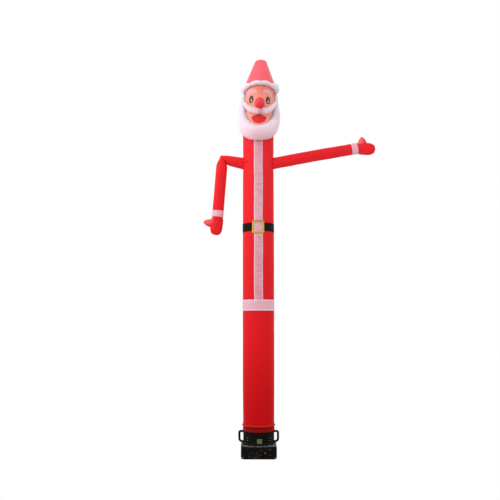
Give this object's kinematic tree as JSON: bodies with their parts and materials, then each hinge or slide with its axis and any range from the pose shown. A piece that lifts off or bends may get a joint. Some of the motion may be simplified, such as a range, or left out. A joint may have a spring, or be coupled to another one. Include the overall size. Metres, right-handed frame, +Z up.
{
  "type": "inflatable santa",
  "caption": "Inflatable santa tube figure with a cone hat, puffed beard, belt and mitten hands, standing on the square floor blower that keeps it full of air.",
  "frame": {"origin": "middle of the blower's underside", "axes": "+Z up along the tube, the santa faces -Y, +X towards arm_right, the arm that is held straight out; left and right are as seen from the front"},
  "size_m": [2.6442, 0.6406, 6.027],
  "materials": {
    "black_plastic": "satin, slightly textured",
    "red_plastic": "gloss",
    "screw_steel": "satin",
    "red_nylon": "thin woven nylon with a soft sheen",
    "white_nylon": "thin woven nylon, slightly translucent",
    "placket_nylon": "white nylon that the red shows through",
    "belt_nylon": "thin woven nylon, semi-matt",
    "buckle_nylon": "thin woven nylon, satin",
    "flesh_nylon": "thin woven nylon, satin, printed",
    "nose_nylon": "thin woven nylon, satin"
  },
  "bodies": {
    "root": {"blower_housing": "black_plastic", "outlet_drum": "black_plastic", "drum_flange": "black_plastic", "drum_rim": "black_plastic", "handle_left": "black_plastic", "handle_right": "black_plastic", "switch_plate": "black_plastic", "power_switch": "red_plastic", "plate_screw_1": "screw_steel", "plate_screw_2": "screw_steel", "plate_screw_3": "screw_steel", "plate_screw_4": "screw_steel", "foot_screw_1": "screw_steel", "foot_screw_2": "screw_steel", "foot_screw_3": "screw_steel", "foot_screw_4": "screw_steel", "drum_screw_low_1": "screw_steel", "drum_screw_low_2": "screw_steel", "drum_screw_low_3": "screw_steel", "drum_screw_low_4": "screw_steel", "drum_screw_high_1": "screw_steel", "drum_screw_high_2": "screw_steel", "drum_screw_high_3": "screw_steel", "drum_screw_high_4": "screw_steel", "tube_skirt": "red_nylon", "body_tube": "red_nylon", "hem_band": "white_nylon", "placket": "placket_nylon", "belt": "belt_nylon", "buckle": "buckle_nylon", "arm_left": "red_nylon", "arm_right": "red_nylon", "cuff_left": "white_nylon", "cuff_right": "white_nylon", "mitten_left": "red_nylon", "mitten_right": "red_nylon", "head": "flesh_nylon", "hat": "red_nylon", "hat_brim": "white_nylon", "beard": "white_nylon", "moustache": "white_nylon", "nose": "nose_nylon"}
  },
  "joints": []
}
